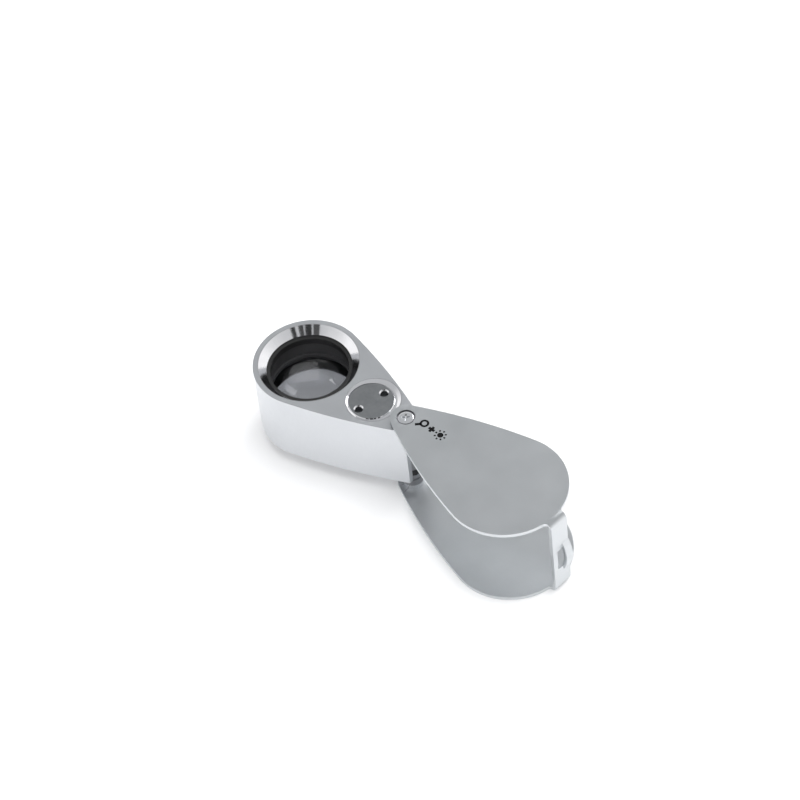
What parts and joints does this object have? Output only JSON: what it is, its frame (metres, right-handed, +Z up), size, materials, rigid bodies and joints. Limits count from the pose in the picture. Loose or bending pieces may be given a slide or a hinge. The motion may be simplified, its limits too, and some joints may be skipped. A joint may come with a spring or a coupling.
{
  "type": "folding illuminated loupe",
  "caption": "Folding loupe: a lens housing with lamps and a battery cap turns on a post between the two teardrop plates of a bent sheet cover.",
  "frame": {"origin": "centre of the cover's round end on its underside, which is the face it lies on", "axes": "+X towards the strap and cord eyelet, +Z up through both plates; the swung-out housing lies towards -X"},
  "size_m": [0.0945, 0.0301, 0.025],
  "materials": {
    "satin_sheet": "satin chromed sheet with fine grain",
    "dark_steel": "gunmetal",
    "black_plastic": "black",
    "bright_screw": "bright",
    "spacer_steel": "plain",
    "satin_housing": "silver lacquer, satin",
    "polished_chrome": "polished",
    "black_barrel": "matt black",
    "lens_glass": "clear, polished",
    "cap_metal": "turned, satin",
    "contact_brass": "plain",
    "cell_steel": "nickel plated",
    "spring_steel": "drawn wire",
    "board_green": "lacquered board",
    "lamp_clear": "water clear",
    "satin_bottom": "silver lacquer, satin"
  },
  "bodies": {
    "cover_body": {"cover": "satin_sheet", "pivot_post": "dark_steel", "switch_insulator": "black_plastic", "upper_pivot_screw": "bright_screw", "lower_pivot_screw": "bright_screw", "lower_washer": "spacer_steel", "upper_washer": "spacer_steel"},
    "housing_body": {"housing": "satin_housing", "upper_bezel": "polished_chrome", "lower_bezel": "polished_chrome", "lens_barrel": "black_barrel", "upper_lens": "lens_glass", "lower_lens": "lens_glass", "lens_spacer": "black_barrel", "lens_retainer": "black_barrel", "mouth_ring": "black_plastic", "battery_ring": "polished_chrome", "battery_sleeve": "black_plastic", "battery_spring": "spring_steel", "circuit_board": "board_green", "lamp_left": "lamp_clear", "lamp_right": "lamp_clear", "resistor": "black_plastic", "switch_leaf": "contact_brass", "bottom_plate": "satin_bottom", "bottom_plate_screws": "bright_screw"},
    "battery_stack": {"battery_cell_1": "cell_steel", "battery_cell_2": "cell_steel", "battery_cell_3": "cell_steel"},
    "cap_body": {"battery_cap": "cap_metal", "cap_contact": "contact_brass"}
  },
  "joints": [
    {"name": "housing_swing", "type": "hinge", "parent": "cover_body", "child": "housing_body", "pos_m": [-0.032, 0, 0], "axis": [0, 0, 1], "continuous": true},
    {"name": "battery_stack_lift", "type": "slide", "parent": "housing_body", "child": "battery_stack", "axis": [0, 0, 1], "range_m": [0, 0.0005], "deforming": ["battery_spring"]},
    {"name": "cap_turn", "type": "hinge", "parent": "battery_stack", "child": "cap_body", "pos_m": [-0.04303, -0.00058, 0.022], "axis": [0, 0, 1], "range_deg": [0, 360]}
  ],
  "couplings": [
    {"joint": "cap_turn", "follows": "battery_stack_lift", "rad_per_m": 12566}
  ]
}
